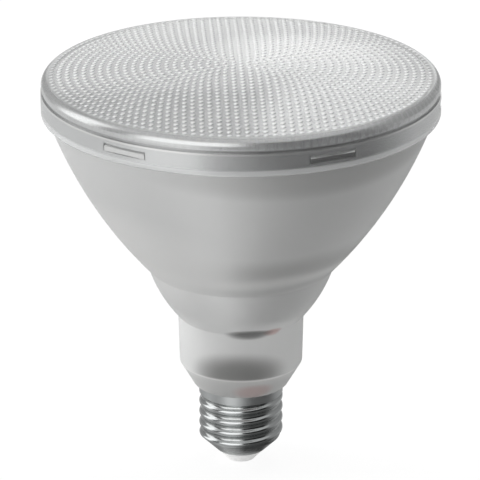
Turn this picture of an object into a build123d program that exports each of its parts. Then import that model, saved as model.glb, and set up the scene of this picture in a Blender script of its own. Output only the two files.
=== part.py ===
"""PAR38 LED grow light bulb with an E27 screw cap, in millimetres.

The lamp stands on the axis Z with the centre contact of its cap at the origin
and its lens up. A frosted body carries everything: the screw shell is cemented
to its spigot, the driver stands in its neck, a pressed aluminium spreader sits
in its bowl and carries the LED board, and the clear lens snaps over its rim.
"""
import math
import os

from build123d import *

os.makedirs("parts", exist_ok=True)

# Screw cap, size E27
crest_r = 13.15
thread_pitch = 3.629
thread_arc_r = 1.025
thread_turns = 3.5
thread_steps = 8
shell_wall = 0.3
shell_foot_r = 8.0
shell_foot_z = 3.9
cone_top_r = 12.7
cone_top_z = 8.6
collar_z = 22.3
collar_chamfer = 0.9
shell_top_z = 26.5
insulator_tip_r = 4.5
insulator_tip_z = 0.15
insulator_plug_z = 2.7
contact_r = 3.2
contact_height = 1.2
live_bore_r = 1.1

# Frosted body, its outer surface
body_wall = 1.8
lip_r = 14.7
neck_foot_z = 34.3
neck_foot_fillet = 1.5
lip_fillet = 1.0
neck_top_r = 19.55
neck_top_z = 49.9
neck_draft = 0.35
waist_r = 28.8
waist_z = 66.1
bowl_bulge = 1.0
rim_r = 58.85
rim_top_z = 122.0
rim_height = 6.0
cone_bulge = 3.0
spigot_wall = 1.5
spigot_foot_z = 15.0
spigot_gap = 0.25

# Clear lens
lens_wall = 2.2
dome_height = 3.5
shoulder_height = 3.5
shoulder_width = 1.6
shoulder_bulge = 0.75
groove_lift = 1.9
groove_width = 0.7
groove_depth = 0.4
skirt_wall = 1.6
skirt_gap = 0.25
skirt_reach = 5.8
skirt_foot_round = 0.5
seal_height = 1.2
seal_wall = 1.4

# Snap catches round the rim
catch_count = 6
catch_turn = -64.0
catch_angle = 14.0
window_drop = 0.2
window_height = 2.9
catch_gap = 0.3
catch_recess = 0.4
catch_lead_in = 0.9

# Heat spreader, LED board and reflector
fit_gap = 0.3
spreader_top_z = 74.0
spreader_foot_z = 52.0
spreader_wall = 1.5
pad_height = 0.5
board_r = 30.0
board_height = 1.6
lead_hole_r = 3.0
led_size = 3.0
led_height = 0.8
led_bevel = 0.25
led_ring_pitch = 8.0
led_ring_counts = (6, 12, 12)
reflector_wall = 1.0
reflector_drop = 7.0
reflector_foot_r = 28.2
screw_circle_r = 20.0
screw_count = 3
screw_turn = 45.0
screw_r = 1.5
screw_head_r = 2.4
screw_head_height = 1.8
screw_reach = 1.2
screw_slot_width = 0.7
screw_slot_depth = 0.9
terminal_size = (8.0, 5.0, 3.2)
terminal_bevel = 0.4

# Driver
driver_thickness = 1.6
driver_foot_z = 13.0
driver_top_z = 53.0
shoulder_z = 38.5
sleeve_foot_z = 42.0
sleeve_top_z = 48.7
sleeve_wall = 0.8
core_size = (16.0, 12.2, 5.0)
core_leg = 4.6
core_yoke = 2.0
core_centre = (-1.5, 37.0)
coil_gap = 0.1
coil_overhang = 2.2
output_can_r = 4.5
output_centre = (3.0, 47.9)
input_can_r = 4.0
input_centre = (-6.0, 46.0)
can_gap = 0.27
choke_r = 4.0
choke_waist_r = 2.6
choke_flange = 1.2
choke_length = 9.0
choke_inset = 9.5
choke_z = 45.5
film_size = (9.0, 5.0, 8.0)
film_inset = 6.5
film_z = 47.5
bridge_size = (4.8, 2.5, 4.2)
bridge_centre = (-6.0, 35.0)
chip_size = (5.0, 1.6, 4.0)
chip_centre = (5.5, 36.0)
varistor_r = 3.5
varistor_width = 3.4
varistor_lift = 1.0
varistor_centre = (0.0, 28.0)
fuse_r = 1.6
fuse_length = 8.0
fuse_centre = (0.0, 22.0)
leg_r = 0.3
block_bevel = 0.3
can_bevel = 0.5

# Leads
led_lead_r = 0.8
lead_spread = 1.4
solder_inset = 3.0
solder_z = 44.0
bow_lift = 0.5
bow_turn = 36.0
bow_z = 52.0
hole_corner_z = 66.0
mains_lead_r = 0.6
neutral_inset = 2.5
neutral_top_z = 18.0
neutral_turn_z = 11.8
neutral_end_z = 10.8
bend_share = 0.45

# Worked out from the values above
thread_rise = math.sqrt((2 * thread_arc_r) ** 2 - (thread_pitch / 2) ** 2)
thread_depth = 2 * thread_arc_r - thread_rise
root_r = crest_r - thread_depth
thread_foot_z = collar_z - thread_turns * thread_pitch
cone_rise = (cone_top_z - shell_foot_z) / (cone_top_r - shell_foot_r)
cone_slant = shell_wall * math.hypot(1, 1 / cone_rise)
spigot_r = root_r - shell_wall - spigot_gap
neck_foot_r = neck_top_r - neck_draft
rim_foot_z = rim_top_z - rim_height
skirt_bore_r = rim_r + skirt_gap
skirt_r = skirt_bore_r + skirt_wall
skirt_foot_z = rim_top_z - skirt_reach
groove_z = rim_top_z + groove_lift
face_edge_r = skirt_r - shoulder_width
face_edge_z = groove_z + shoulder_height
lens_pole_z = face_edge_z + dome_height
dome_r = (face_edge_r**2 + dome_height**2) / (2 * dome_height)
window_top_z = rim_top_z - window_drop
catch_r = skirt_r - catch_recess
seal_top_z = rim_top_z + seal_height
reflector_top_z = rim_top_z - reflector_drop
board_foot_z = spreader_top_z + pad_height
board_top_z = board_foot_z + board_height
liner_depth = body_wall + fit_gap
neck_bore_r = neck_foot_r - body_wall
sleeve_bore_r = neck_bore_r - fit_gap - sleeve_wall
driver_half = sleeve_bore_r - fit_gap
tongue_half = spigot_r - spigot_wall - fit_gap
tongue_top_z = shell_top_z + body_wall + fit_gap
driver_face = driver_thickness / 2
choke_centre = (driver_half - choke_inset, choke_z)
film_centre = (film_inset - driver_half, film_z)


def turned(*lines):
    """Solid of revolution about Z from a closed outline of (radius, height) lines."""
    return revolve(Plane.XZ * make_face(lines), Axis.Z)


def turned_corners(*corners):
    """Solid of revolution about Z from straight-sided (radius, height) corners."""
    return turned(Polyline(*corners, close=True))


def ring_edge(part, radius, height):
    """Round edge of a turned part at a radius and a height."""
    rings = part.edges().filter_by(GeomType.CIRCLE)
    return min(rings, key=lambda ring: math.hypot(ring.radius - radius, ring.arc_center.Z - height))


def around(count, turn=0.0):
    """Places evenly spaced about Z."""
    return [Rot(0, 0, turn + 360 * i / count) for i in range(count)]


def body_section(depth, low, high):
    """Half section of all that lies more than depth inside the body's outer surface."""
    far = 2 * rim_r
    outline = make_face(
        [
            Line((lip_r, shell_top_z), (neck_foot_r, neck_foot_z)),
            Line((neck_foot_r, neck_foot_z), (neck_top_r, neck_top_z)),
            SagittaArc((neck_top_r, neck_top_z), (waist_r, waist_z), -bowl_bulge),
            SagittaArc((waist_r, waist_z), (rim_r, rim_foot_z), -cone_bulge),
            Polyline(
                (rim_r, rim_foot_z), (rim_r, far + rim_top_z), (-far, far + rim_top_z),
                (-far, -far), (lip_r, -far), (lip_r, shell_top_z),
            ),
        ]
    )
    if depth:
        outline = offset(outline, amount=-depth, kind=Kind.ARC)
    slab = Pos(far / 2, (low + high) / 2) * Rectangle(far, high - low)
    return outline & slab


def liner(depth, wall, low, high):
    """Thin turned wall that follows the body's outer surface at a depth."""
    band = body_section(depth, low, high) - body_section(depth + wall, low, high)
    return revolve(Plane.XZ * band, Axis.Z)


def thread_wave(turn):
    """Rolled thread of tangent arcs: radius at a share of one turn from the crest."""
    along = thread_pitch * min(turn % 1, 1 - turn % 1)
    if along < thread_pitch / 4:
        return crest_r - thread_arc_r + math.sqrt(thread_arc_r**2 - along**2)
    return root_r + thread_arc_r - math.sqrt(thread_arc_r**2 - (thread_pitch / 2 - along) ** 2)


def screw_shell():
    """Rolled sheet shell: cone at its foot, threaded tube and smooth collar.

    Each turn of the thread is drawn as a level ring of its true section.
    """
    wave = [
        (thread_wave(i / thread_steps), thread_foot_z + thread_pitch * i / thread_steps)
        for i in range(round(thread_turns * thread_steps) + 1)
    ]
    bore_r = root_r - shell_wall
    foot_bore_r = shell_foot_r - cone_slant
    return turned_corners(
        (foot_bore_r, shell_foot_z), (shell_foot_r, shell_foot_z), (cone_top_r, cone_top_z), *wave,
        (crest_r, collar_z + collar_chamfer), (crest_r, shell_top_z), (crest_r - shell_wall, shell_top_z),
        (crest_r - shell_wall, collar_z + collar_chamfer), (bore_r, collar_z),
        (bore_r, shell_foot_z + (bore_r - foot_bore_r) * cone_rise),
    )


def cap_insulator():
    """Moulded cone that plugs the shell's foot and carries the contact."""
    foot_r = shell_foot_r - cone_slant
    top_r = foot_r + insulator_plug_z / cone_rise
    return turned_corners(
        (contact_r, insulator_tip_z), (insulator_tip_r, insulator_tip_z),
        (shell_foot_r - shell_wall, shell_foot_z), (foot_r, shell_foot_z),
        (top_r, shell_foot_z + insulator_plug_z), (live_bore_r, shell_foot_z + insulator_plug_z),
        (live_bore_r, contact_height), (contact_r, contact_height),
    )


def centre_contact():
    """Contact disc pressed into the insulator's tip, its rim bevelled."""
    crown = contact_height / 4
    return turned_corners(
        (0, 0), (contact_r - crown, 0), (contact_r, crown), (contact_r, contact_height), (0, contact_height)
    )


def cap_cement():
    """Adhesive ring that holds the spigot in the collar."""
    return turned_corners(
        (spigot_r, collar_z + collar_chamfer), (crest_r - shell_wall, collar_z + collar_chamfer),
        (crest_r - shell_wall, shell_top_z), (spigot_r, shell_top_z),
    )


def catch_block(inner_r, outer_r, margin):
    """Block on one catch's place, smaller than its window by a margin all round."""
    width = 2 * skirt_r * math.tan(math.radians(catch_angle / 2)) - 2 * margin
    size = window_height - 2 * margin
    middle_z = window_top_z - window_height / 2
    return Pos((inner_r + outer_r) / 2, 0, middle_z) * Box(outer_r - inner_r, width, size)


def reflector_body():
    """Frosted moulding with its spigot below and six snap catches round its rim."""
    shell = liner(0, body_wall, shell_top_z, rim_top_z)
    floor_z = shell_top_z + body_wall
    spigot = turned_corners(
        (spigot_r - spigot_wall, spigot_foot_z), (spigot_r, spigot_foot_z), (spigot_r, shell_top_z),
        (lip_r, shell_top_z), (lip_r - body_wall / 2, floor_z), (spigot_r - spigot_wall, floor_z),
    )
    body = shell + (spigot & revolve(Plane.XZ * body_section(0, spigot_foot_z, floor_z), Axis.Z))
    body = fillet(ring_edge(body, neck_foot_r, neck_foot_z), neck_foot_fillet)
    body = fillet(ring_edge(body, lip_r, shell_top_z), lip_fillet)
    catch = catch_block(rim_r - body_wall / 2, catch_r, catch_gap)
    nose = catch.edges().filter_by(Axis.Y).group_by(Axis.Z)[-1].sort_by(Axis.X)[-1]
    catch = chamfer(nose, catch_lead_in)
    return body + [place * catch for place in around(catch_count, catch_turn)]


def dome_z(radius, depth):
    """Height of the lens dome at a radius, at a depth below its outer face."""
    return lens_pole_z - dome_r + math.sqrt((dome_r - depth) ** 2 - radius**2)


def front_lens():
    """Clear lens: domed face, round shoulder, groove, and skirt with six windows."""
    seat_r = rim_r - body_wall - fit_gap
    seat_z = dome_z(seat_r, lens_wall)
    inner_z = dome_z(0, lens_wall)
    half_r = face_edge_r / 2
    groove_foot_z = groove_z - groove_width
    groove_r = skirt_r - groove_depth
    lens = turned(
        ThreePointArc((0, lens_pole_z), (half_r, dome_z(half_r, 0)), (face_edge_r, face_edge_z)),
        SagittaArc((face_edge_r, face_edge_z), (groove_r, groove_z), shoulder_bulge),
        Polyline(
            (groove_r, groove_z), (groove_r, groove_foot_z), (skirt_r, groove_foot_z),
            (skirt_r, skirt_foot_z), (skirt_bore_r, skirt_foot_z), (skirt_bore_r, seal_top_z),
            (seat_r, seal_top_z), (seat_r, seat_z),
        ),
        ThreePointArc((seat_r, seat_z), (half_r, dome_z(half_r, lens_wall)), (0, inner_z)),
        Line((0, inner_z), (0, lens_pole_z)),
    )
    lens = fillet(ring_edge(lens, skirt_r, skirt_foot_z), skirt_foot_round)
    window = catch_block(rim_r - body_wall / 2, skirt_r + skirt_gap, 0)
    return lens - [place * window for place in around(catch_count, catch_turn)]


def lens_seal():
    """Silicone ring between the body's rim and the lens."""
    outer_r = rim_r - (body_wall - seal_wall) / 2
    return turned_corners(
        (outer_r - seal_wall, rim_top_z), (outer_r, rim_top_z),
        (outer_r, seal_top_z), (outer_r - seal_wall, seal_top_z),
    )


def plate(radius, low, high):
    """Round plate with the lead hole and the screw holes."""
    disc = turned_corners((lead_hole_r, low), (radius, low), (radius, high), (lead_hole_r, high))
    hole = Pos(screw_circle_r, 0, (low + high) / 2) * Cylinder(screw_r, high - low)
    return disc - [place * hole for place in around(screw_count, screw_turn)]


def heat_spreader():
    """Pressed aluminium cup upside down in the bowl, its wall against the body's."""
    skirt = liner(liner_depth, spreader_wall, spreader_foot_z, spreader_top_z)
    low_z = spreader_top_z - spreader_wall
    disc = revolve(Plane.XZ * body_section(liner_depth, low_z, spreader_top_z), Axis.Z)
    return skirt + (disc & plate(waist_r * 2, low_z, spreader_top_z))


def board_screws():
    """Pan-head screws that clamp the board and its pad to the spreader."""
    foot_z = spreader_top_z - spreader_wall - screw_reach
    head_top_z = board_top_z + screw_head_height
    crown_r = screw_head_r - screw_head_height / 2
    screw = turned_corners(
        (0, foot_z), (screw_r, foot_z), (screw_r, board_top_z), (screw_head_r, board_top_z),
        (screw_head_r, head_top_z - screw_head_height / 2), (crown_r, head_top_z), (0, head_top_z),
    )
    slot = Pos(0, 0, head_top_z) * Box(2 * screw_head_r, screw_slot_width, 2 * screw_slot_depth)
    screw = Pos(screw_circle_r, 0, 0) * (screw - slot)
    return [place * screw for place in around(screw_count, screw_turn)]


def led_groups():
    """LED packages by colour: blue in the inner ring, red and white by turns outside."""
    package = Pos(0, 0, board_top_z + led_height / 2) * Box(led_size, led_size, led_height)
    package = chamfer(package.edges().group_by(Axis.Z)[-1], led_bevel)
    groups = {"blue_leds": [], "red_leds": [], "white_leds": []}
    for ring, count in enumerate(led_ring_counts, start=1):
        for i, place in enumerate(around(count, 180 / count)):
            colour = "blue_leds" if ring == 1 else ("red_leds", "white_leds")[i % 2]
            groups[colour].append(place * Pos(ring * led_ring_pitch, 0, 0) * package)
    return groups


def beam_reflector():
    """Metallised cone that stands on the board's edge and lines the body up to the rim."""
    foot_top_z = board_top_z + reflector_wall
    wall = liner(liner_depth, reflector_wall, board_top_z, reflector_top_z)
    floor = revolve(Plane.XZ * body_section(liner_depth, board_top_z, foot_top_z), Axis.Z)
    return wall + (floor - Cylinder(reflector_foot_r, 4 * board_top_z))


def led_terminal():
    """Two-pole terminal block over the lead hole."""
    length, width, height = terminal_size
    block = Pos(0, 0, board_top_z + height / 2) * Box(length, width, height)
    return chamfer(block.edges().group_by(Axis.Z)[-1], terminal_bevel)


def driver_board():
    """Upright circuit board: narrow tongue in the cap, full width in the neck."""
    outline = Polyline(
        (-tongue_half, driver_foot_z), (tongue_half, driver_foot_z), (tongue_half, tongue_top_z),
        (driver_half, shoulder_z), (driver_half, driver_top_z), (-driver_half, driver_top_z),
        (-driver_half, shoulder_z), (-tongue_half, tongue_top_z), close=True,
    )
    return extrude(Plane.XZ * make_face(outline), driver_face, both=True)


def driver_sleeve():
    """White insulating ring between the driver and the neck."""
    outer_r = neck_bore_r - fit_gap
    return turned_corners(
        (sleeve_bore_r, sleeve_foot_z), (outer_r, sleeve_foot_z),
        (outer_r, sleeve_top_z), (sleeve_bore_r, sleeve_top_z),
    )


def on_board(side, centre, reach):
    """Place on one face of the board: side -1 is the front, reach is how far out."""
    return Pos(centre[0], side * (driver_face + reach), centre[1])


def block_on_board(side, centre, size):
    """Moulded block flush on the board, its outer edges bevelled."""
    block = on_board(side, centre, size[1] / 2) * Box(*size)
    return chamfer(block.edges().group_by(Axis.Y)[-1 if side > 0 else 0], block_bevel)


def can_on_board(side, centre, radius):
    """Electrolytic capacitor on end on the board, as long as the sleeve leaves room for."""
    reach = abs(centre[0]) + radius
    length = math.sqrt(sleeve_bore_r**2 - reach**2) - driver_face - can_gap
    body = on_board(side, centre, length / 2) * Rot(90, 0, 0) * Cylinder(radius, length)
    return chamfer(body.edges().group_by(Axis.Y)[-1 if side > 0 else 0], can_bevel)


def transformer_core():
    """Pair of E-shaped ferrites: a frame with two windows beside the middle leg."""
    width, depth, height = core_size
    window = (width - core_leg) / 2 - core_yoke
    frame = Box(width, depth, height)
    for side in (-1, 1):
        cut = Pos(side * (core_leg + window) / 2, 0, 0) * Box(window, depth - 2 * core_yoke, height)
        frame -= cut
    return on_board(-1, core_centre, depth / 2) * frame


def transformer_coil():
    """Taped winding round the middle leg."""
    width, depth, height = core_size
    window = (width - core_leg) / 2 - core_yoke
    outer = core_leg + 2 * window - 2 * coil_gap
    tall = height + 2 * coil_overhang
    length = depth - 2 * core_yoke - 2 * coil_gap
    coil = fillet(Box(outer, length, tall).edges().filter_by(Axis.Y), coil_overhang)
    return on_board(-1, core_centre, depth / 2) * (coil - Box(core_leg, length, height))


def filter_choke():
    """Drum choke: ferrite bobbin with its winding between two flanges."""
    core = Cylinder(choke_r, choke_length)
    gap = choke_length - 2 * choke_flange
    winding_r = (choke_r + choke_waist_r) / 2
    core -= Cylinder(choke_r, gap) - Cylinder(winding_r, gap)
    return on_board(1, choke_centre, choke_length / 2) * Rot(90, 0, 0) * core


def varistor():
    """Coated disc standing off the board on its two legs."""
    lift = varistor_lift + varistor_r
    disc = on_board(1, varistor_centre, lift) * Rot(0, 90, 0) * Cylinder(varistor_r, varistor_width)
    disc = chamfer(disc.edges().filter_by(GeomType.CIRCLE), block_bevel)
    leg = Rot(90, 0, 0) * Cylinder(leg_r, lift)
    leg = on_board(1, varistor_centre, lift / 2) * leg
    return disc + [Pos(0, 0, side * varistor_r / 2) * leg for side in (-1, 1)]


def fuse_resistor():
    """Input fuse resistor lying against the tongue."""
    body = chamfer(Cylinder(fuse_r, fuse_length).edges().filter_by(GeomType.CIRCLE), can_bevel)
    return on_board(-1, fuse_centre, fuse_r) * body


def lead(points, radius):
    """Insulated lead through the points, each bend as large as its runs allow."""
    points = [Vector(point) for point in points]
    runs = [after - before for before, after in zip(points, points[1:])]
    bends = []
    for before, after in zip(runs, runs[1:]):
        half_turn = math.radians(before.get_angle(after)) / 2
        bends.append(bend_share * min(before.length, after.length) / math.tan(half_turn))
    path = FilletPolyline(*points, radius=bends) if bends else Line(*points)
    return sweep(Plane(path @ 0, z_dir=path % 0) * Circle(radius), path=path)


def leads():
    """LED leads up through the spreader, mains leads down to the contact and the shell."""
    solder_x = driver_half - solder_inset
    solder_y = driver_face + led_lead_r
    bow_x = (neck_bore_r + bow_lift) * math.sin(math.radians(bow_turn))
    bow_y = (neck_bore_r + bow_lift) * math.cos(math.radians(bow_turn))
    red = [
        (solder_x, -solder_y, solder_z), (bow_x, -bow_y, bow_z), (lead_spread, 0, hole_corner_z),
        (lead_spread, 0, board_top_z),
    ]
    black = [
        (-solder_x, solder_y, solder_z), (-bow_x, bow_y, bow_z), (-lead_spread, 0, hole_corner_z),
        (-lead_spread, 0, board_top_z),
    ]
    mains_y = -driver_face - mains_lead_r
    shell_x = -math.sqrt(spigot_r**2 - mains_y**2) + mains_lead_r / 2
    neutral_x = -tongue_half + neutral_inset
    neutral = [
        (neutral_x, mains_y, neutral_top_z), (neutral_x, mains_y, neutral_turn_z),
        (shell_x, mains_y, neutral_end_z),
    ]
    return {
        "red_lead": lead(red, led_lead_r),
        "black_lead": lead(black, led_lead_r),
        "live_lead": lead([(0, 0, contact_height), (0, 0, driver_foot_z)], mains_lead_r),
        "neutral_lead": lead(neutral, mains_lead_r),
    }


pieces = {
    "screw_shell": screw_shell(),
    "cap_insulator": cap_insulator(),
    "centre_contact": centre_contact(),
    "cap_cement": cap_cement(),
    "reflector_body": reflector_body(),
    "front_lens": front_lens(),
    "lens_seal": lens_seal(),
    "heat_spreader": heat_spreader(),
    "thermal_pad": plate(board_r, spreader_top_z, board_foot_z),
    "led_board": plate(board_r, board_foot_z, board_top_z),
    "board_screws": board_screws(),
    "led_terminal": led_terminal(),
    "beam_reflector": beam_reflector(),
    "driver_board": driver_board(),
    "driver_sleeve": driver_sleeve(),
    "transformer_core": transformer_core(),
    "transformer_coil": transformer_coil(),
    "output_capacitor": can_on_board(-1, output_centre, output_can_r),
    "input_capacitor": can_on_board(1, input_centre, input_can_r),
    "filter_choke": filter_choke(),
    "film_capacitor": block_on_board(-1, film_centre, film_size),
    "bridge_rectifier": block_on_board(1, bridge_centre, bridge_size),
    "controller_chip": block_on_board(1, chip_centre, chip_size),
    "varistor": varistor(),
    "fuse_resistor": fuse_resistor(),
}
pieces.update(led_groups())
pieces.update(leads())

for name, piece in pieces.items():
    parts = piece if isinstance(piece, list) else [piece]
    solids = [solid for part in parts for solid in part.solids()]
    export_step(Compound(children=solids), f"parts/{name}.step")
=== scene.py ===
"""Looks for the LED grow lamp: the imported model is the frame, and each section dresses one piece.

The sections follow the lamp as it is put together: cap, driver, light engine, body, lens and
then the studio. Lengths are in metres, the lamp's axis is z, and its front faces -y.
"""

import math

import bmesh
import bpy
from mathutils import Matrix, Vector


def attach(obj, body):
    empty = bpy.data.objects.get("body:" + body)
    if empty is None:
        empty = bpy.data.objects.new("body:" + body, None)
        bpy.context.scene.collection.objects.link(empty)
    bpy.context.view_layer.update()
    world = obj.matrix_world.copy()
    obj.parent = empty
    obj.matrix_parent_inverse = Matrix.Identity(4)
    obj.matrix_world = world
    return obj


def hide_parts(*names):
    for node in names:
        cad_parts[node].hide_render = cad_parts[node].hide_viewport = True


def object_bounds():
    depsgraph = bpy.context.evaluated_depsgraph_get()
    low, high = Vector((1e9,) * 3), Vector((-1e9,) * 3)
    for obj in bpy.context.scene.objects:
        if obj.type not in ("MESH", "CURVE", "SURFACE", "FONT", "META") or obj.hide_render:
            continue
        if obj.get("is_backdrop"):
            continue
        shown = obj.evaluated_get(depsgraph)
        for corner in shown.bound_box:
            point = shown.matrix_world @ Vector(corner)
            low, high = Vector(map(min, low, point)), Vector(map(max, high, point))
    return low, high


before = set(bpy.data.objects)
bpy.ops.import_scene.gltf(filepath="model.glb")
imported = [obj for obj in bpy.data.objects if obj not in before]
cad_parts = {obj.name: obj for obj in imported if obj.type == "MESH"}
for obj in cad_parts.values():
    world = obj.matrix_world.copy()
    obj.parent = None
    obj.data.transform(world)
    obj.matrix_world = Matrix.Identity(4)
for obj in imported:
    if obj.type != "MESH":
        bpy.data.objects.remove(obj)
cad_box = [list(corner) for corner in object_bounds()]
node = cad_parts


# Screw shell: brass sheet, drawn, rolled into a right-handed E27 thread and nickel plated. Its
# foot is a cone that lies on the insulator, and the plain satin collar above the thread grips
# the body's spigot. The colour is patchily darker in the roots of the thread.
class Field:
    """A value that changes over a surface: arithmetic on it adds Math nodes to its finish."""

    def __init__(self, finish, socket):
        self.finish = finish
        self.socket = socket

    def math(self, operation, *values):
        """A Math node of one operation on these values."""
        return self.finish.add("ShaderNodeMath", {"operation": operation}, dict(enumerate(values)))

    def __add__(self, other):
        return self.math("ADD", self, other)

    def __sub__(self, other):
        return self.math("SUBTRACT", self, other)

    def __rsub__(self, other):
        return self.math("SUBTRACT", other, self)

    def __mul__(self, other):
        return self.math("MULTIPLY", self, other)

    def __truediv__(self, other):
        return self.math("DIVIDE", self, other)

    def __rtruediv__(self, other):
        return self.math("DIVIDE", other, self)

    def __pow__(self, other):
        return self.math("POWER", self, other)

    def __rpow__(self, other):
        return self.math("POWER", other, self)

    def __gt__(self, other):
        return self.math("GREATER_THAN", self, other)

    def __lt__(self, other):
        return self.math("LESS_THAN", self, other)

    def __abs__(self):
        return self.math("ABSOLUTE", self)

    def __round__(self):
        return self.math("ROUND", self)

    __radd__ = __add__
    __rmul__ = __mul__

    def angle(self, other):
        """Angle whose sine goes with this value and whose cosine goes with the other."""
        return self.math("ARCTAN2", self, other)

    def ramp(self, low, high):
        """0 below low, 1 above high and smooth between them."""
        return self.finish.add(
            "ShaderNodeMapRange", {"interpolation_type": "SMOOTHSTEP"},
            {"Value": self, "From Min": low, "From Max": high},
        )

    def band(self, centre, half_width, core, end):
        """1 up to core half widths from the centre, and 0 past end of them."""
        return 1 - (abs(self - centre) / half_width).ramp(core, end)


class Finish:
    """One material: a Principled shader with fixed values, and the nodes that vary it."""

    def __init__(self, name, colour, roughness, **fixed):
        self.material = bpy.data.materials.new(name)
        self.material.use_nodes = True
        self.tree = self.material.node_tree
        self.shader = self.tree.nodes["Principled BSDF"]
        self.output = self.tree.nodes["Material Output"]
        values = {"Base Color": (*colour, 1.0), "Roughness": roughness}
        values.update({key.replace("_", " ").title(): value for key, value in fixed.items()})
        self.feed(self.shader, values)

    def feed(self, target, values):
        """Sets or links a node's sockets, by name or by place."""
        for key, value in values.items():
            sockets = target.inputs
            socket = sockets[key] if isinstance(key, int) else next(
                each for each in sockets if each.enabled and each.name.lower() == key.lower()
            )
            if isinstance(value, Field):
                self.tree.links.new(value.socket, socket)
            else:
                socket.default_value = value

    def add(self, kind, settings=None, values=None, result=0):
        """Adds a node: its settings first, then its sockets. Gives one of its results."""
        made = self.tree.nodes.new(kind)
        for name, value in (settings or {}).items():
            if name == "stops":
                elements = made.color_ramp.elements
                while len(elements) < len(value):
                    elements.new(1.0)
                for element, (place, colour) in zip(elements, value):
                    element.position = place
                    element.color = (*colour, 1.0)
            else:
                setattr(made, name, value)
        self.feed(made, values or {})
        outputs = [each for each in made.outputs if each.enabled]
        picked = made.outputs[result] if isinstance(result, str) else outputs[result]
        return Field(self, picked)

    def vary(self, **values):
        """Feeds sockets of the Principled shader, with _ for the spaces in their names."""
        self.feed(self.shader, {name.replace("_", " "): value for name, value in values.items()})

    def place(self):
        """Position on the object, in metres."""
        return self.add("ShaderNodeTexCoord", result="Object")

    def axes(self):
        """The x, y and z of the position."""
        split = self.add("ShaderNodeSeparateXYZ", {}, {0: self.place()})
        return [Field(self, output) for output in split.socket.node.outputs]

    def radius(self):
        """Distance from the lamp's axis."""
        flat = self.add(
            "ShaderNodeVectorMath", {"operation": "MULTIPLY"}, {0: self.place(), 1: (1, 1, 0)},
        )
        return self.add("ShaderNodeVectorMath", {"operation": "LENGTH"}, {0: flat}, result="Value")

    def noise(self, scale, detail=2.0, stretch=(1, 1, 1)):
        """Cloudy value about 0.5, scale per metre, drawn out along the axes by stretch."""
        spot = self.add(
            "ShaderNodeVectorMath", {"operation": "MULTIPLY"}, {0: self.place(), 1: stretch},
        )
        return self.add(
            "ShaderNodeTexNoise", {}, {"Vector": spot, "Scale": scale, "Detail": detail},
        )

    def blend(self, share, first, second):
        """Colour mix: first where share is 0, second where it is 1."""
        first, second = [
            (*each, 1.0) if isinstance(each, tuple) else each for each in (first, second)
        ]
        return self.add(
            "ShaderNodeMix", {"data_type": "RGBA"}, {"Factor": share, "A": first, "B": second},
        )

    def relief(self, height, depth):
        """Result of a Bump node: height is a field from 0 to 1, depth is its size in metres."""
        return self.add(
            "ShaderNodeBump", {}, {"Height": height, "Distance": depth, "Strength": 1.0},
        )

    def bump(self, height, depth):
        """Fine relief on the Principled shader."""
        self.feed(self.shader, {"Normal": self.relief(height, depth)})


def mesh_piece(name, points, faces, finish, sharp=40):
    """Makes a smooth-shaded mesh object that rides on the lamp."""
    mesh = bpy.data.meshes.new(name)
    mesh.from_pydata(points, [], faces)
    mesh.validate()
    mesh.polygons.foreach_set("use_smooth", [True] * len(mesh.polygons))
    mesh.set_sharp_from_angle(angle=math.radians(sharp))
    piece = bpy.data.objects.new(name, mesh)
    bpy.context.scene.collection.objects.link(piece)
    mesh.materials.append(finish.material)
    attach(piece, "root")
    return piece


CREST, ROOT = 0.01315, 0.0121336
PITCH, CURVE = 0.003629, 0.001025
CREST_HEIGHT = 0.01698
CAP_TOP, SHEET = 0.0265, 0.0003
COLLAR_FOOT, COLLAR_STEP = 0.0223, 0.0009
SHELL_FOOT, FOOT_RADIUS, FOOT_EDGE = 0.0039, 0.008, 0.0038
TIP_RADIUS, TIP_HEIGHT, TIP_SLOPE = 0.00452, 0.00015, 0.8533
STEPS_ROUND, STEPS_UP = 144, 160

cap_nickel = Finish("cap_nickel", (0.66, 0.65, 0.63), 0.14, metallic=1.0)
cap_z = cap_nickel.axes()[2]
satin_collar = cap_z.ramp(0.0228, 0.0234)
satin_foot = 1 - cap_z.ramp(0.006, 0.0075)
darker_roots = (1 - cap_nickel.radius().ramp(0.0121, 0.0127)) * cap_nickel.noise(900, 4)
cap_nickel.vary(
    Base_Color=cap_nickel.blend(darker_roots * 0.8, (0.64, 0.66, 0.66), (0.3, 0.31, 0.3)),
    Roughness=0.11 + 0.22 * satin_collar + 0.14 * satin_foot + 0.1 * cap_nickel.noise(260, 3),
)
cap_nickel.bump(cap_nickel.noise(160, 3, (1, 1, 14)), 0.000012)


def thread_radius(turn, z):
    """Outer radius of the shell: tangent arcs wound right-handed, faded into collar and cone."""
    phase = ((z - CREST_HEIGHT) / PITCH - turn) % 1
    along = PITCH * min(phase, 1 - phase)
    if along < PITCH / 4:
        wave = CREST - CURVE + math.sqrt(CURVE**2 - along**2)
    else:
        wave = ROOT + CURVE - math.sqrt(CURVE**2 - (PITCH / 2 - along) ** 2)
    collar = ROOT + (CREST - ROOT) * min(max((z - COLLAR_FOOT) / COLLAR_STEP, 0), 1)
    cone = FOOT_RADIUS + z - SHELL_FOOT
    return min(max(wave, collar), cone)


def inner_radius(turn, z):
    """Inner radius of the shell, which thins where it lies on the insulator's cone."""
    insulator = TIP_RADIUS + TIP_SLOPE * (z - TIP_HEIGHT) if z < SHELL_FOOT else 0
    return max(thread_radius(turn, z) - SHEET, insulator)


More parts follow.
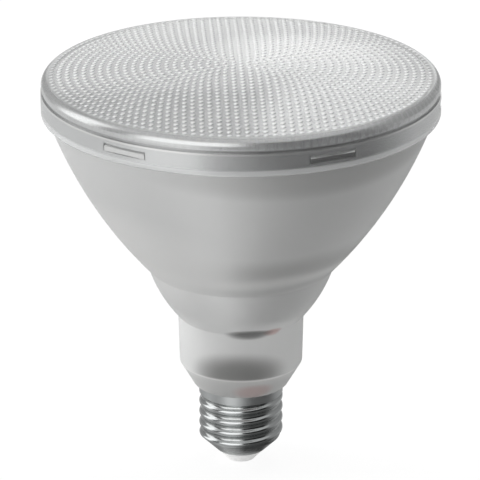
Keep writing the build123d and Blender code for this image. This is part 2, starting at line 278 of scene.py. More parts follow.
points, faces = [], []
for radius_at in (thread_radius, inner_radius):
    for row in range(STEPS_UP + 1):
        z = FOOT_EDGE + (CAP_TOP - FOOT_EDGE) * row / STEPS_UP
        for i in range(STEPS_ROUND):
            turn = i / STEPS_ROUND
            r = radius_at(turn, z)
            angle = math.tau * turn - math.pi / 2
            points.append((r * math.cos(angle), r * math.sin(angle), z))
inside = len(points) // 2
for row in range(STEPS_UP + 1):
    for i in range(STEPS_ROUND):
        a, b = row * STEPS_ROUND + i, row * STEPS_ROUND + (i + 1) % STEPS_ROUND
        c, d = a + inside, b + inside
        if row < STEPS_UP:
            faces.append((a, b, b + STEPS_ROUND, a + STEPS_ROUND))
            faces.append((d, c, c + STEPS_ROUND, d + STEPS_ROUND))
        if row == 0:
            faces.append((b, a, c, d))
        if row == STEPS_UP:
            faces.append((a, b, d, c))
rolled_shell = mesh_piece("rolled_shell", points, faces, cap_nickel)
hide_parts("screw_shell")


# Cap insulator: a moulded cone, off-white and a little glossy, pressed into the shell's foot.
# A weak glow stands for the light that the opal moulding scatters through from all round.
def dress(name, finish):
    """Gives a node of the frame its finish."""
    slots = node[name].data.materials
    slots.clear()
    slots.append(finish.material)


insulator_white = Finish(
    "insulator_white", (0.78, 0.78, 0.77), 0.35,
    emission_color=(1, 1, 1, 1), emission_strength=0.14,
)
insulator_white.vary(Base_Color=insulator_white.blend(
    insulator_white.noise(400, 3), (0.86, 0.86, 0.85), (0.93, 0.93, 0.92),
))
insulator_white.bump(insulator_white.noise(1500, 3), 0.00003)
dress("cap_insulator", insulator_white)


# Centre contact: a tinned disc pressed into the insulator, scratched round and round by
# the holders it has been tried in.
contact_tin = Finish("contact_tin", (0.62, 0.6, 0.56), 0.3, metallic=1.0)
contact_tin.vary(
    Base_Color=contact_tin.blend(
        contact_tin.noise(1200, 4), (0.7, 0.68, 0.64), (0.48, 0.45, 0.4),
    ),
    Roughness=0.2 + 0.3 * contact_tin.noise(2500, 3),
)
contact_tin.bump(contact_tin.noise(3000, 2, (1, 1, 0.1)), 0.00003)
dress("centre_contact", contact_tin)


# Cement: the ring of cured adhesive between the collar and the body's spigot. It is grainy
# and a little porous.
cement_grey = Finish("cement_grey", (0.6, 0.58, 0.53), 0.9)
cement_grey.vary(Base_Color=cement_grey.blend(
    cement_grey.noise(1800, 5), (0.5, 0.48, 0.43), (0.72, 0.7, 0.65),
))
cement_grey.bump(cement_grey.noise(2600, 5), 0.0001)
dress("cap_cement", cement_grey)


# Driver board: green glass-fibre laminate. The weave shows faintly under the mask, and tinned
# tracks run along it.
laminate = Finish("laminate", (0.03, 0.16, 0.07), 0.35)
weave = laminate.add(
    "ShaderNodeTexWave", {"wave_type": "BANDS"}, {"Vector": laminate.place(), "Scale": 700},
)
tracks = laminate.noise(130, 0, (1, 0.2, 0.25)) > 0.6
green_mask = laminate.blend(weave, (0.02, 0.13, 0.05), (0.04, 0.2, 0.09))
laminate.vary(Base_Color=laminate.blend(tracks, green_mask, (0.3, 0.34, 0.2)))
laminate.bump(weave * 0.5 + tracks * 0.5, 0.00003)
dress("driver_board", laminate)


# Transformer and choke cores: pressed and fired ferrite, near black, with a fine grain and
# lighter rubbed spots.
ferrite = Finish("ferrite", (0.03, 0.028, 0.03), 0.55)
rubbed = ferrite.noise(900, 5).ramp(0.45, 0.75)
ferrite.vary(
    Base_Color=ferrite.blend(rubbed, (0.022, 0.02, 0.022), (0.09, 0.085, 0.09)),
    Roughness=0.45 + 0.3 * ferrite.noise(500, 2),
)
ferrite.bump(ferrite.noise(2500, 4), 0.00005)
dress("transformer_core", ferrite)
dress("filter_choke", ferrite)


# Transformer winding: enamelled wire under yellow polyester tape, wound flat. The tape's laps
# show as shallow steps.
tape = Finish("tape", (0.75, 0.52, 0.06), 0.25)
laps = tape.add(
    "ShaderNodeTexWave", {"wave_type": "BANDS", "bands_direction": "Y"},
    {"Vector": tape.place(), "Scale": 160},
)
tape.vary(Base_Color=tape.blend(laps, (0.78, 0.56, 0.08), (0.6, 0.38, 0.04)))
tape.bump(laps, 0.00005)
dress("transformer_coil", tape)


# Electrolytic capacitors: aluminium cans in shrunk black sleeves. The sleeve is glossy, with
# faint wrinkles along the can.
can_sleeve = Finish("can_sleeve", (0.012, 0.012, 0.014), 0.28)
can_sleeve.vary(
    Base_Color=can_sleeve.blend(
        can_sleeve.noise(300, 3), (0.01, 0.01, 0.012), (0.035, 0.035, 0.04),
    ),
    Roughness=0.22 + 0.2 * can_sleeve.noise(500, 2),
)
can_sleeve.bump(can_sleeve.noise(700, 2, (1, 0.2, 1)), 0.00005)
dress("output_capacitor", can_sleeve)
dress("input_capacitor", can_sleeve)


# Film capacitor: a wound film block dipped in dark red epoxy. The dip is glossy and slightly
# lumpy.
film_dip = Finish("film_dip", (0.32, 0.03, 0.02), 0.25)
film_dip.vary(Base_Color=film_dip.blend(
    film_dip.noise(500, 3), (0.26, 0.02, 0.015), (0.42, 0.05, 0.03),
))
film_dip.bump(film_dip.noise(600, 2), 0.0002)
dress("film_capacitor", film_dip)


# Bridge rectifier and controller chip: black moulded epoxy, soldered to the board, with the
# fine matt grain that the mould leaves.
chip_epoxy = Finish("chip_epoxy", (0.02, 0.02, 0.022), 0.6)
chip_epoxy.vary(
    Base_Color=chip_epoxy.blend(
        chip_epoxy.noise(3000, 4), (0.015, 0.015, 0.017), (0.045, 0.045, 0.05),
    ),
    Roughness=0.5 + 0.25 * chip_epoxy.noise(1500, 2),
)
chip_epoxy.bump(chip_epoxy.noise(4000, 3), 0.00003)
dress("bridge_rectifier", chip_epoxy)
dress("controller_chip", chip_epoxy)


# Varistor: a zinc oxide disc dipped in blue epoxy, which ends a little way down its two
# tinned legs.
blue_dip = Finish("blue_dip", (0.03, 0.1, 0.35), 0.3)
bare_leg = 1 - blue_dip.axes()[1].ramp(0.0021, 0.0025)
dipped = blue_dip.blend(blue_dip.noise(600, 3), (0.02, 0.08, 0.3), (0.06, 0.16, 0.45))
blue_dip.vary(
    Base_Color=blue_dip.blend(bare_leg, dipped, (0.55, 0.54, 0.52)),
    Metallic=bare_leg,
)
blue_dip.bump(blue_dip.noise(700, 2), 0.00015)
dress("varistor", blue_dip)


# Fuse resistor: a ceramic rod in green-grey cement paint, rough, with darker ends where the
# caps are pressed on.
ROD_MIDDLE = 0.022
resistor_paint = Finish("resistor_paint", (0.16, 0.25, 0.2), 0.7)
rod_end = abs(resistor_paint.axes()[2] - ROD_MIDDLE).ramp(0.0028, 0.0036)
resistor_paint.vary(
    Base_Color=resistor_paint.blend(rod_end, (0.17, 0.27, 0.21), (0.1, 0.12, 0.11)),
    Roughness=0.6 + 0.3 * resistor_paint.noise(1500, 3),
)
resistor_paint.bump(resistor_paint.noise(1800, 4), 0.0001)
dress("fuse_resistor", resistor_paint)


# Driver sleeve: a ring of white insulating film that keeps the driver off the neck, satin, with
# faint creases.
sleeve_film = Finish("sleeve_film", (0.85, 0.85, 0.85), 0.4)
sleeve_film.vary(Base_Color=sleeve_film.blend(
    sleeve_film.noise(120, 3), (0.8, 0.8, 0.8), (0.9, 0.9, 0.9),
))
sleeve_film.bump(sleeve_film.noise(90, 3, (1, 1, 0.3)), 0.0003)
dress("driver_sleeve", sleeve_film)


# Leads: stranded wire in coloured insulation, red and black up to the LED board, white and
# black down to the cap. The skin is matt with a soft wrinkle where it bends.
def wire_skin(name, dark, light):
    """Insulation of one colour."""
    skin = Finish(name, light, 0.45)
    skin.vary(
        Base_Color=skin.blend(skin.noise(700, 3), dark, light),
        Roughness=0.38 + 0.2 * skin.noise(900, 2),
    )
    skin.bump(skin.noise(1600, 2, (1, 1, 0.15)), 0.00005)
    return skin


dress("red_lead", wire_skin("red_insulation", (0.38, 0.01, 0.008), (0.55, 0.02, 0.015)))
black_insulation = wire_skin("black_insulation", (0.01, 0.01, 0.01), (0.03, 0.03, 0.03))
dress("black_lead", black_insulation)
dress("neutral_lead", black_insulation)
dress("live_lead", wire_skin("white_insulation", (0.7, 0.7, 0.68), (0.82, 0.82, 0.8)))


# Heat spreader: a pressed aluminium cup, satin, that carries the LED board. The drawing tool
# has left round marks on it.
spreader_metal = Finish("spreader_metal", (0.75, 0.76, 0.77), 0.35, metallic=1.0)
drawn = spreader_metal.add(
    "ShaderNodeTexWave", {"wave_type": "RINGS", "rings_direction": "Z"},
    {"Vector": spreader_metal.place(), "Scale": 260, "Distortion": 2.0},
)
spreader_metal.vary(
    Base_Color=spreader_metal.blend(
        spreader_metal.noise(200, 4), (0.68, 0.69, 0.7), (0.82, 0.83, 0.84),
    ),
    Roughness=0.28 + 0.15 * drawn,
)
spreader_metal.bump(drawn, 0.00003)
dress("heat_spreader", spreader_metal)


# Thermal pad: soft grey-blue silicone with a fine grain, squeezed between the spreader and
# the board.
pad_grey = Finish("pad_grey", (0.4, 0.45, 0.5), 0.8)
pad_grey.vary(Base_Color=pad_grey.blend(
    pad_grey.noise(1500, 4), (0.34, 0.39, 0.44), (0.47, 0.52, 0.57),
))
pad_grey.bump(pad_grey.noise(1800, 3), 0.00005)
dress("thermal_pad", pad_grey)


# LED board: aluminium-core disc under a white solder mask, so that it throws light back.
# Wide copper areas show as a shade under the mask.
mask_white = Finish("mask_white", (0.86, 0.86, 0.84), 0.3)
copper_rings = mask_white.add(
    "ShaderNodeTexWave", {"wave_type": "RINGS", "rings_direction": "Z"},
    {"Vector": mask_white.place(), "Scale": 20},
).ramp(0.55, 0.65)
mask_white.vary(Base_Color=mask_white.blend(copper_rings, (0.82, 0.82, 0.79), (0.9, 0.9, 0.88)))
mask_white.bump(copper_rings, 0.00004)
dress("led_board", mask_white)


# Board screws: zinc-plated pan heads with a slot, which hold the board to the spreader. The
# driver bit has brushed them.
screw_zinc = Finish("screw_zinc", (0.6, 0.6, 0.58), 0.3, metallic=1.0)
screw_zinc.vary(
    Base_Color=screw_zinc.blend(screw_zinc.noise(900, 4), (0.52, 0.52, 0.5), (0.7, 0.7, 0.68)),
    Roughness=0.22 + 0.2 * screw_zinc.noise(2500, 2),
)
screw_zinc.bump(screw_zinc.noise(3000, 3), 0.00003)
dress("board_screws", screw_zinc)


# LED terminal: an ivory moulded block, slightly glossy, soldered to the middle of the board,
# with two dark wire entries on its top.
ENTRY_PLACE = 0.002
terminal_ivory = Finish("terminal_ivory", (0.82, 0.8, 0.72), 0.4)
term_x, term_y, _ = terminal_ivory.axes()
from_entry = ((abs(term_x) - ENTRY_PLACE) ** 2 + term_y**2) ** 0.5
hole = 1 - from_entry.ramp(0.0009, 0.0011)
terminal_ivory.vary(
    Base_Color=terminal_ivory.blend(hole, (0.82, 0.8, 0.72), (0.06, 0.05, 0.04)),
    Roughness=0.35 + 0.2 * terminal_ivory.noise(1200, 2),
)
terminal_ivory.bump(1 - hole, 0.0002)
dress("led_terminal", terminal_ivory)


# LEDs: white moulded packages soldered to the board. The window on top is yellow phosphor on
# the white ones, and clear resin over a tinted die on the red and blue ones.
PACKAGE_TOP, WINDOW_LEVEL = 0.0766, 0.07685


def led_package(name, window):
    """Package whose window has one colour."""
    package = Finish(name, (0.88, 0.88, 0.86), 0.3)
    grain = package.noise(2200, 3)
    in_light = package.axes()[2].ramp(PACKAGE_TOP, WINDOW_LEVEL)
    package.vary(
        Base_Color=package.blend(in_light, (0.88, 0.88, 0.86), window),
        Roughness=0.2 + 0.25 * grain,
    )
    package.bump(grain, 0.00002)
    return package


dress("blue_leds", led_package("blue_package", (0.5, 0.58, 0.85)))
dress("red_leds", led_package("red_package", (0.8, 0.42, 0.36)))
dress("white_leds", led_package("white_package", (0.85, 0.72, 0.2)))


# Beam reflector: moulded cone, metallised inside, satin outside, that stands on the board's
# edge and throws the beam up through the lens. The metal layer has a faint orange peel.
reflector_metal = Finish("reflector_metal", (0.8, 0.8, 0.81), 0.3, metallic=1.0)
peel = reflector_metal.noise(350, 3)
reflector_metal.vary(
    Base_Color=reflector_metal.blend(peel, (0.74, 0.74, 0.75), (0.84, 0.84, 0.85)),
    Roughness=0.24 + 0.12 * reflector_metal.noise(90, 2),
)
reflector_metal.bump(peel, 0.00006)
dress("beam_reflector", reflector_metal)


# Body: one frosted translucent moulding. The metallised cone and the spreader behind it give the
# cone and bowl a satin shine. The soft dark rings where they stand off the wall are painted shade,
# and the colour also carries painted light between them, a painted lit patch on the cone and
# painted shade under the rim. The neck shows the driver faintly as painted shadows and a red tint,
# with a painted highlight on the fold at its foot. The mould's polished ring leaves the rim and the
# catches clearer.
NECK_FOOT = 0.0341
SHADE, PAINTED_LIGHT = (0.3, 0.3, 0.29), (0.97, 0.97, 0.96)
DARK_CORE, DARK_CAN = (0.14, 0.14, 0.135), (0.1, 0.1, 0.1)
RED_WIRE, RED_END = (0.5, 0.26, 0.24), (0.55, 0.3, 0.28)

frosted = Finish("frosted", (0.7, 0.7, 0.7), 0.45, transmission_weight=0.35, ior=1.49)
body_x, body_y, body_z = frosted.axes()
turn_from_front = body_x.angle(body_y * -1)
polished = body_z.ramp(0.1158, 0.1166)
lined = body_z.ramp(0.0505, 0.056)
above_neck_foot = body_z.ramp(0.0342, 0.0348)
drift = frosted.noise(38, 2)


def painted_ring(z, height):
    """Soft, uneven ring mask for painted shade and painted light around the parts behind the wall,
    faint on the left, where the light falls.
    """
    wander = z + 0.004 * (drift - 0.5)
    from_left = 0.15 + 0.85 * body_x.ramp(-0.016, 0.01)
    return body_z.band(wander, height, 0, 1) * (0.55 + 0.9 * drift) * from_left


def painted_oval(turn, width, z, height, softness):
    """Soft oval mask for painted shade, painted light and painted tint, turned degrees from the
    front.
    """
    across = (turn_from_front - math.radians(turn)) / math.radians(width)
    up = (body_z - z) / height
    return 1 - (across**2 + up**2).ramp(1 - softness, 1 + softness)


cloudy_neck = frosted.blend(frosted.noise(60, 3), (0.77, 0.775, 0.77), (0.83, 0.835, 0.83))
through = frosted.blend(lined, cloudy_neck, (0.86, 0.865, 0.86))
for share, tint in (
    # Painted shade and painted light: the rings at the waist, the shade under the rim and the patch
    # where the cone is lit.
    (painted_ring(0.0772, 0.007) * 0.32, SHADE),
    (painted_ring(0.0684, 0.0036) * 0.2, SHADE),
    (painted_ring(0.0722, 0.0034) * 0.6, PAINTED_LIGHT),
    (painted_oval(27, 44, 0.1135, 0.006, 0.9) * 0.3, SHADE),
    (painted_oval(-50, 40, 0.078, 0.016, 0.9) * 0.6, PAINTED_LIGHT),
    # Painted shadows of the transformer and of the parts low in the cap, a painted highlight on the
    # fold at the neck's foot, and a painted red tint of the lead.
    (painted_oval(-2, 38, 0.0358, 0.006, 1.0) * above_neck_foot * 0.8, DARK_CORE),
    (body_z.band(NECK_FOOT, 0.0004, 0.3, 1) * 0.8, PAINTED_LIGHT),
    (painted_oval(-4, 60, 0.0295, 0.005, 0.9) * 0.35, SHADE),
    (painted_oval(14, 20, 0.0292, 0.0026, 0.9) * 0.4, RED_WIRE),
    # Painted shade of the top of the output can, with a painted red tint of the red lead beside it.
    (painted_oval(29, 8, 0.0502, 0.0012, 0.9) * 0.6, RED_END),
    (painted_oval(8, 18, 0.0501, 0.0016, 0.9) * 0.8, DARK_CAN),
):
    through = frosted.blend(share, through, tint)
frosted.vary(
    Base_Color=through,
    Metallic=0.6 * lined + 0.25 * polished,
    Roughness=0.52 - 0.3 * polished + 0.06 * frosted.noise(300, 2),
)
frosted.bump(frosted.noise(1400, 3), 0.00003)
dress("reflector_body", frosted)


# Lens seal: a soft translucent silicone ring laid in the rim, under the lens. Its skin is
# slightly uneven.
seal_silicone = Finish("seal_silicone", (0.8, 0.8, 0.79), 0.5)
seal_silicone.vary(Base_Color=seal_silicone.blend(
    seal_silicone.noise(200, 3), (0.76, 0.76, 0.75), (0.85, 0.85, 0.84),
))
seal_silicone.bump(seal_silicone.noise(900, 2), 0.00005)
dress("lens_seal", seal_silicone)


# Front lens: injection-moulded clear plastic. Its dome is smooth outside, and its inner face
# carries rings of small lenslets, six more in each ring than in the last. A rounded shoulder
# and a groove lead to the skirt, whose six windows snap over the catches of the body.
POLE, FACE_RIM, FACE_Z, WALL = 0.1309, 0.0591, 0.1274, 0.0022
DOME = (FACE_RIM**2 + (POLE - FACE_Z) ** 2) / (2 * (POLE - FACE_Z))
DOT_STEP, DOT_RADIUS, DOT_HEIGHT = 0.0025, 0.00105, 0.00045
DOT_RINGS, DOTS_MORE = 22, 6
ROWS_A_DOT, COLUMNS_A_DOT = 7, 7
TWIST = math.radians(-88)
SHOULDER_R, SHOULDER_Z, SHOULDER_BULGE = 0.0603, 0.1239, 0.00075
SEAT_R, SKIRT_INNER, SKIRT_OUTER, SKIRT_TOP = 0.05675, 0.0591, 0.0607, 0.1232
WINDOW_TOP, WINDOW_FOOT, WINDOW_ROW = 0.12155, 0.11915, 1
FACE_STEPS, SHOULDER_STEPS, SKIRT_STEPS = 40, 8, 360
HALF_WINDOW = math.radians(6.75)
CATCH_ANGLES = [math.radians(-64 + 60 * k) for k in range(6)]

clear_plastic = Finish(
    "clear_plastic", (0.97, 0.975, 0.975), 0.03, transmission_weight=1.0, ior=1.5,
)
clear_plastic.vary(Roughness=0.02 + 0.04 * clear_plastic.noise(80, 3))
lens_x, lens_y, lens_z = clear_plastic.axes()
lens_r = clear_plastic.radius()

# Where a spot lies on its nearest lenslet, and which side of the lenslet the light catches.
ring_number = round(lens_r / DOT_STEP)
place_in_ring = (lens_y.angle(lens_x) - TWIST) * ring_number * DOTS_MORE / math.tau
across_dot = (place_in_ring - round(place_in_ring)) * (math.tau / DOTS_MORE * DOT_STEP)
along_dot = lens_r - ring_number * DOT_STEP
from_dot = (across_dot**2 + along_dot**2) ** 0.5 / DOT_RADIUS
bead = 1 - from_dot.ramp(0.5, 0.95)
bead_x = (along_dot * lens_x - across_dot * lens_y) / lens_r
bead_y = (along_dot * lens_y + across_dot * lens_x) / lens_r
lit_side = (0.6 * bead_y - 0.8 * bead_x) / DOT_RADIUS

# Which part of the lens a spot is on.
height_in_dome = (lens_r**2 + (lens_z - (POLE - DOME)) ** 2) ** 0.5
inner_face = (DOME - WALL / 2 > height_in_dome) * (lens_r < (DOT_RINGS + 0.5) * DOT_STEP)
rim = lens_r.ramp(0.0564, 0.0592)
groove = lens_z.band(0.12355, 0.0005, 0.6, 1.2)
lit_edge = lens_z.band(0.12285, 0.0004, 0.4, 1.1)
lip = 1 - lens_z.ramp(0.1177, 0.1185)

# The haze's colour carries painted light: a painted highlight and a painted shadow on opposite
# sides of each lenslet, painted shade in the groove, and a painted highlight on the edge just below
# it.
tone = clear_plastic.blend(bead, (0.72, 0.73, 0.73), (0.9, 0.91, 0.91))
for share, tint in (
    (bead * lit_side.ramp(0.05, 0.5), (1.0, 1.0, 1.0)),
    (bead * (-1 * lit_side).ramp(0.05, 0.5), (0.14, 0.145, 0.145)),
    (rim, (0.78, 0.79, 0.79)),
    (lip * rim, (0.84, 0.85, 0.85)),
    (groove * 0.4, (0.2, 0.2, 0.2)),
    (lit_edge * 0.7, (0.98, 0.98, 0.97)),
):
    tone = clear_plastic.blend(share, tone, tint)
haze = clear_plastic.add("ShaderNodeBsdfPrincipled", {}, {
    "Base Color": tone,
    "Metallic": rim * (0.8 - 0.35 * lip),
    "Roughness": 0.5 - 0.24 * rim,
    "Normal": clear_plastic.relief((1 - from_dot.ramp(0, 1.1)) * (1 - rim), 0.0005),
})
haze_inside = 0.34 + 0.2 * bead
haze_outside = 0.22 + 0.44 * bead * (1 - rim) + 0.58 * rim
clear_plastic.feed(clear_plastic.output, {
    "Surface": clear_plastic.add("ShaderNodeMixShader", {}, {
        0: inner_face * haze_inside + (1 - inner_face) * haze_outside,
        1: Field(clear_plastic, clear_plastic.shader.outputs[0]),
        2: haze,
    }),
})


def dome_height(radius, depth):
    """Height of the dome at a radius, a depth below its outer face."""
    return POLE - DOME + math.sqrt((DOME - depth) ** 2 - radius**2)


def add_points(new_points):
    """Adds points to the lens and gives their numbers."""
    first = len(points)
    points.extend(new_points)
    return list(range(first, len(points)))


def add_circle(radius, z):
    """Adds a level circle with the skirt's count of points, and gives their numbers."""
    angles = [TWIST + math.tau * i / SKIRT_STEPS for i in range(SKIRT_STEPS)]
    return add_points([(radius * math.cos(a), radius * math.sin(a), z) for a in angles])


def stitch(lower, upper, flip):
    """Faces between two circles of vertex numbers with any counts."""
    made, i, j = [], 0, 0
    low, high = len(lower), len(upper)
    while i < low or j < high:
        if j == high or (i < low and (i + 1) * high <= (j + 1) * low):
            face = (lower[i % low], lower[(i + 1) % low], upper[j % high])
            i += 1
        else:
            face = (upper[(j + 1) % high], upper[j % high], lower[i % low])
            j += 1
        made.append(face[::-1] if flip else face)
    return made


def dotted_circle(ring, offset):
    """Points on the inner face, an offset from a ring of lenslets, with their relief."""
    count = max(DOTS_MORE * ring, 1) * COLUMNS_A_DOT
    radius = ring * DOT_STEP + offset
    made = []
    for i in range(count):
        nearest = round(i / COLUMNS_A_DOT) * COLUMNS_A_DOT if ring else i
        along = ring * DOT_STEP * math.tau * (i - nearest) / count
        away = math.hypot(offset, along) if ring else radius
        relief = DOT_HEIGHT * max(0.0, 1 - (away / DOT_RADIUS) ** 2)
        angle = math.tau * i / count + TWIST
        made.append((
            radius * math.cos(angle), radius * math.sin(angle), dome_height(radius, WALL) - relief,
        ))
    return made


points, faces = [], []

# The inner face with its lenslets, then the seat and the skirt's ceiling.
previous = add_points([(0, 0, dome_height(0, WALL) - DOT_HEIGHT)])
for ring in range(DOT_RINGS + 1):
    for row in range(ROWS_A_DOT):
        offset = (row - (ROWS_A_DOT - 1) / 2) / ROWS_A_DOT * DOT_STEP
        if ring * DOT_STEP + offset <= 0:
            continue
        numbers = add_points(dotted_circle(ring, offset))
        if len(previous) == 1:
            count = len(numbers)
            faces.extend((numbers[(i + 1) % count], numbers[i], 0) for i in range(count))
        else:
            faces.extend(stitch(previous, numbers, True))
        previous = numbers
for radius, z in (
    (SEAT_R, dome_height(SEAT_R, WALL)), (SEAT_R, SKIRT_TOP), (SKIRT_INNER, SKIRT_TOP),
):
    numbers = add_circle(radius, z)
    faces.extend(stitch(previous, numbers, True))
    previous = numbers
inner_rows = [previous]

# The outer face, the shoulder and the groove over the skirt.
run, drop = SHOULDER_R - FACE_RIM, FACE_Z - SHOULDER_Z
size = math.hypot(run, drop)
outline = []
for i in range(1, FACE_STEPS + 1):
    radius = FACE_RIM * i / FACE_STEPS
    outline.append((radius, dome_height(radius, 0)))
for i in range(1, SHOULDER_STEPS + 1):
    t = i / SHOULDER_STEPS
    off = 4 * SHOULDER_BULGE * t * (1 - t)
    outline.append((
        FACE_RIM + run * t + off * drop / size, FACE_Z - drop * t + off * run / size,
    ))
outline += [(SHOULDER_R, SKIRT_TOP), (SKIRT_OUTER, SKIRT_TOP)]
pole = add_points([(0, 0, POLE)])[0]
previous = add_circle(*outline[0])
faces.extend(
    (pole, previous[i], previous[(i + 1) % SKIRT_STEPS]) for i in range(SKIRT_STEPS)
)
for radius, z in outline[1:]:
    numbers = add_circle(radius, z)
    faces.extend(stitch(previous, numbers, False))
    previous = numbers
outer_rows = [previous]

# The skirt, open at its windows and rounded at its foot.
for z, radius in (
    (WINDOW_TOP, SKIRT_OUTER), (WINDOW_FOOT, SKIRT_OUTER), (0.1167, SKIRT_OUTER),
    (0.11635, 0.06055), (0.1162, 0.0602),
):
    outer_rows.append(add_circle(radius, z))
    inner_rows.append(add_circle(SKIRT_INNER, z))


def in_window(i):
    """True where the skirt's column i is cut away."""
    middle = TWIST + math.tau * (i + 0.5) / SKIRT_STEPS
    return any(
        abs((middle - catch + math.pi) % math.tau - math.pi) < HALF_WINDOW
        for catch in CATCH_ANGLES
    )


for row in range(len(outer_rows) - 1):
    a, b = outer_rows[row], outer_rows[row + 1]
    c, d = inner_rows[row], inner_rows[row + 1]
    for i in range(SKIRT_STEPS):
        j = (i + 1) % SKIRT_STEPS
        if row == WINDOW_ROW and in_window(i):
            faces.append((a[i], a[j], c[j], c[i]))
            faces.append((b[j], b[i], d[i], d[j]))
            if not in_window(i - 1):
                faces.append((a[i], c[i], d[i], b[i]))
            if not in_window(i + 1):
                faces.append((a[j], b[j], d[j], c[j]))
        else:
            faces.append((a[i], b[i], b[j], a[j]))
            faces.append((c[i], c[j], d[j], d[i]))
for i in range(SKIRT_STEPS):
    j = (i + 1) % SKIRT_STEPS
    faces.append((outer_rows[-1][i], inner_rows[-1][i], inner_rows[-1][j], outer_rows[-1][j]))

dimpled_lens = mesh_piece("dimpled_lens", points, faces, clear_plastic, 50)
outward = bmesh.new()
outward.from_mesh(dimpled_lens.data)
bmesh.ops.recalc_face_normals(outward, faces=outward.faces)
outward.to_mesh(dimpled_lens.data)
outward.free()
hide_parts("front_lens")


# Studio: a pale floor in a pale room, soft boxes on the left, in front and over the lamp, and a
# long lens that looks down at 21 degrees, as in the photograph. Mirrors see cards in place of
# the boxes: pale on the left and dark on the right.
def seen_directly(finish, in_mirrors):
    """1 for what the camera and glass see, in_mirrors for mirrors, and 0 for the light itself."""
    path = finish.add("ShaderNodeLightPath").socket.node.outputs
    seen = Field(finish, path["Is Camera Ray"]) + in_mirrors * Field(finish, path["Is Glossy Ray"])
    both = seen + Field(finish, path["Is Transmission Ray"])
    return both.math("MINIMUM", both, 1.0)


def stage_piece(name, points, faces, finish):
    """A piece of the studio, which isn't part of the lamp."""
    mesh = bpy.data.meshes.new(name)
    mesh.from_pydata(points, [], faces)
    mesh.materials.append(finish.material)
    piece = bpy.data.objects.new(name, mesh)
    bpy.context.scene.collection.objects.link(piece)
    piece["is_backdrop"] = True
    return piece


def for_mirrors_only(piece):
    """Hides a card from all but mirrors."""
    piece.visible_camera = piece.visible_transmission = False
    piece.visible_diffuse = piece.visible_shadow = False


paper = Finish("paper", (0.8, 0.8, 0.8), 0.9)
paper.feed(paper.output, {
    "Surface": paper.add("ShaderNodeMixShader", {}, {
        0: 0.88 * seen_directly(paper, 0.3),
        1: Field(paper, paper.shader.outputs[0]),
        2: paper.add("ShaderNodeEmission", {}, {"Color": (1, 1, 1, 1), "Strength": 1.04}),
    }),
})
stage_piece("floor", [(-6, -6, 0), (6, -6, 0), (6, 6, 0), (-6, 6, 0)], [(0, 1, 2, 3)], paper)


def card(name, outline, shades, count=96):
    """Card swept round the lamp. Its shades are given by degrees from the front."""
    face = Finish(name + "_face", (1, 1, 1), 1.0)
    face_x, face_y, _ = face.axes()
    stops = [(0.5 + degrees / 360, (shade, shade, shade)) for degrees, shade in shades]
    colour = face.add(
        "ShaderNodeValToRGB", {"stops": stops}, {0: 0.5 + face_x.angle(face_y * -1) / math.tau},
    )
    face.feed(face.output, {
        "Surface": face.add("ShaderNodeEmission", {}, {"Color": colour, "Strength": 1.0}),
    })
    points, faces = [], []
    for i in range(count):
        turned = math.tau * i / count
        points += [(r * math.sin(turned), -r * math.cos(turned), z) for r, z in outline]
        j = (i + 1) % count
        faces += [(2 * i, 2 * j, 2 * j + 1, 2 * i + 1)]
    for_mirrors_only(stage_piece(name, points, faces, face))


LAID = 0.0004
card("wall_card", [(1.3, 0.0), (1.3, 1.3)], (
    (-180, 0.3), (-124, 0.3), (-115, 1.5), (-92, 1.5), (-82, 0.15), (-66, 0.12), (-56, 1.5),
    (-6, 1.5), (4, 0.06), (12, 0.02), (68, 0.02), (86, 0.3), (180, 0.3),
))
card("foot_card", [(0.007, LAID), (0.034, LAID)], (
    (-180, 0.3), (-70, 0.3), (-50, 0.5), (-20, 0.42), (10, 0.08), (70, 0.06), (95, 0.25),
    (180, 0.3),
))
card("near_card", [(0.034, LAID), (0.2, LAID)], (
    (-180, 0.4), (-112, 0.4), (-90, 0.6), (-70, 0.35), (-45, 0.35), (-34, 0.85), (-18, 0.85),
    (8, 0.3), (24, 0.12), (76, 0.12), (105, 0.4), (180, 0.5),
))
card("far_card", [(0.2, LAID), (1.3, LAID)], (
    (-180, 0.6), (-70, 0.6), (-50, 0.95), (-26, 0.95), (-14, 0.4), (10, 0.1), (24, 0.03),
    (72, 0.03), (110, 0.5), (180, 0.6),
))

# The glare behind the lamp, which the dome shows: a bright heart, a broad glow and a streak
# that lies over the front right of the dome.
GLARE_Y, GLARE_SIDE, GLARE_FOOT, GLARE_TOP = 1.2, 0.6, 0.05, 1.3
glare = Finish("glare", (1, 1, 1), 1.0)
glare_x, _, glare_z = glare.axes()
dark = 1
for strength, x, z, half_width, half_height, core in (
    (1.0, 0.07, 0.46, 0.13, 0.16, 0),
    (0.45, 0.05, 0.4, 0.5, 0.32, 0.4),
    (0.85, 0.17, 0.85, 0.17, 0.4, 0.4),
):
    outwards = ((glare_x - x) / half_width) ** 2 + ((glare_z - z) / half_height) ** 2
    dark = dark * (1 - strength * (1 - outwards.ramp(core, 1)))
glare.feed(glare.output, {
    "Surface": glare.add("ShaderNodeMixShader", {}, {
        0: 1 - dark,
        1: glare.add("ShaderNodeBsdfTransparent"),
        2: glare.add("ShaderNodeEmission", {}, {"Color": (1, 1, 1, 1), "Strength": 2.2}),
    }),
})
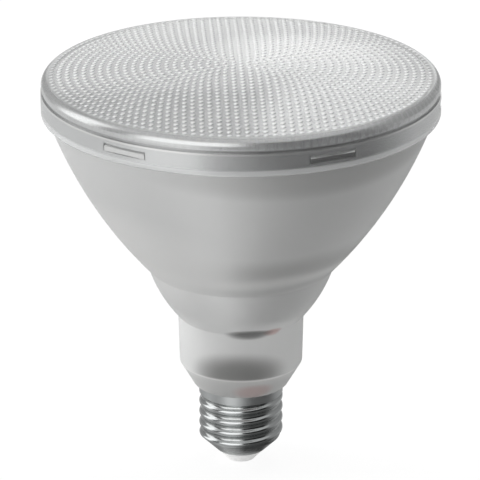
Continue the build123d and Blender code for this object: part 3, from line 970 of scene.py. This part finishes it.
corners = [
    (-GLARE_SIDE, GLARE_Y, GLARE_FOOT), (GLARE_SIDE, GLARE_Y, GLARE_FOOT),
    (GLARE_SIDE, GLARE_Y, GLARE_TOP), (-GLARE_SIDE, GLARE_Y, GLARE_TOP),
]
for_mirrors_only(stage_piece("glare_card", corners, [(0, 1, 2, 3)], glare))

world = bpy.data.worlds.new("studio")
world.use_nodes = True
bpy.context.scene.world = world
room = Finish("room", (1, 1, 1), 1.0)
room.tree = world.node_tree
room.feed(world.node_tree.nodes["Background"], {
    "Color": (1, 1, 1, 1), "Strength": 0.45 + 0.55 * seen_directly(room, 0.1),
})


def soft_box(name, place, aim, size, power):
    """Area lamp with a rectangular front, turned towards a point. Mirrors don't see it."""
    lamp = bpy.data.lights.new(name, "AREA")
    lamp.shape, lamp.size, lamp.size_y, lamp.energy = "RECTANGLE", size[0], size[1], power
    holder = bpy.data.objects.new(name, lamp)
    holder.location = place
    way = [b - a for a, b in zip(place, aim)]
    flat = math.hypot(way[0], way[1])
    holder.rotation_euler = (math.atan2(flat, -way[2]), 0, math.atan2(-way[0], way[1]))
    holder.visible_glossy = False
    bpy.context.scene.collection.objects.link(holder)


soft_box("left_box", (-1.06, 0.2, 0.5), (0, 0, 0.08), (0.75, 0.9), 10.2)
soft_box("front_box", (-0.35, -1.05, 0.5), (0, 0, 0.08), (0.65, 0.9), 2)
soft_box("top_box", (0.25, 0.5, 1.1), (0, 0, 0.12), (0.7, 0.7), 8)

TILT, REACH, AIM_X, AIM_Z = math.radians(21.24), 0.95, -0.0003, 0.07354
camera_data = bpy.data.cameras.new("camera")
camera_data.sensor_width = 36
camera_data.lens = 230.7
camera = bpy.data.objects.new("camera", camera_data)
camera.location = (AIM_X, -REACH * math.cos(TILT), AIM_Z + REACH * math.sin(TILT))
camera.rotation_euler = (math.pi / 2 - TILT, 0, 0)
bpy.context.scene.collection.objects.link(camera)
bpy.context.scene.camera = camera
bpy.context.scene.view_settings.view_transform = "Standard"

{"cad": cad_box, "visual": [list(corner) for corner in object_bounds()]}
